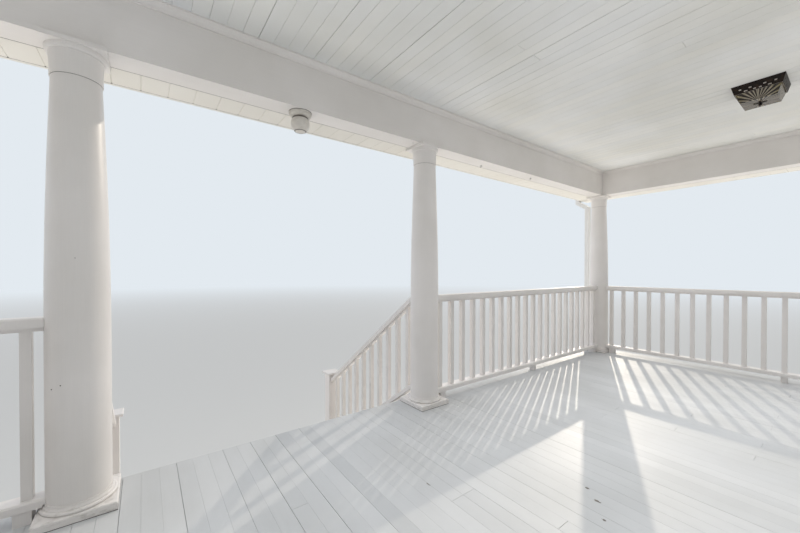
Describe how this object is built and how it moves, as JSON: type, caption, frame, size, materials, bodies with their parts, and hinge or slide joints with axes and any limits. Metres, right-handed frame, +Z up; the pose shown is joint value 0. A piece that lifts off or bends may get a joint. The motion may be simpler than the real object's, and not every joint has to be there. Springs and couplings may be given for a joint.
{
  "type": "front porch",
  "caption": "Raised front porch with round tapered columns, baluster railings, a straight stair, boarded floor and ceiling, boxed beam and a low hip roof.",
  "frame": {"origin": "on the ground, at the centre of the porch's box", "axes": "+X along the front to the right seen from the street, -Y towards the street, +Z up; the house wall is the plane at the highest Y"},
  "size_m": [9.5286, 5.375, 5.0491],
  "materials": {
    "brick": "fired clay brick laid in grey mortar",
    "framing": "sawn pine, unpainted",
    "floor_paint": "light grey porch enamel on boards",
    "roof_deck": "sawn pine rafters and deck boards",
    "shingles": "asphalt shingles with mineral grit",
    "ceiling_paint": "pale grey satin paint on narrow boards",
    "soffit_vinyl": "cream vinyl with pressed grooves",
    "gutter_metal": "white baked enamel",
    "trim_paint": "white satin house paint",
    "bronze": "dark bronze, rubbed",
    "lamp_glass": "clear ribbed glass",
    "frosted_glass": "frosted glass",
    "lamp_metal": "off-white enamel"
  },
  "bodies": {
    "root": {"front_piers": "brick", "rear_piers": "brick", "floor_girders": "framing", "floor_joists": "framing", "porch_floor": "floor_paint", "apron_front": "trim_paint", "apron_left": "trim_paint", "apron_right": "trim_paint", "skirt_front_left": "trim_paint", "skirt_front_right": "trim_paint", "skirt_left": "trim_paint", "skirt_right": "trim_paint", "stair_stringers": "trim_paint", "stair_treads": "floor_paint", "stair_risers": "trim_paint", "newel_left": "trim_paint", "newel_right": "trim_paint", "stair_rail_left": "trim_paint", "stair_rail_right": "trim_paint", "corner_base_left": "trim_paint", "corner_shaft_left": "trim_paint", "corner_capital_left": "trim_paint", "corner_base_right": "trim_paint", "corner_shaft_right": "trim_paint", "corner_capital_right": "trim_paint", "stair_base_left": "trim_paint", "stair_shaft_left": "trim_paint", "stair_capital_left": "trim_paint", "stair_base_right": "trim_paint", "stair_shaft_right": "trim_paint", "stair_capital_right": "trim_paint", "wall_pilasters": "trim_paint", "railing_front_left": "trim_paint", "railing_front_right": "trim_paint", "railing_left": "trim_paint", "railing_right": "trim_paint", "beam_front": "trim_paint", "beam_left": "trim_paint", "beam_right": "trim_paint", "ceiling": "ceiling_paint", "ceiling_trim": "trim_paint", "ceiling_joists": "framing", "eave_front": "soffit_vinyl", "eave_left": "soffit_vinyl", "eave_right": "soffit_vinyl", "gutters": "gutter_metal", "downspouts": "gutter_metal", "roof_front": "roof_deck", "roof_left": "roof_deck", "roof_right": "roof_deck", "ceiling_light_frames": "bronze", "ceiling_light_glasses": "lamp_glass", "entry_light_canopy": "lamp_metal", "entry_light_globe": "frosted_glass"}
  },
  "joints": []
}
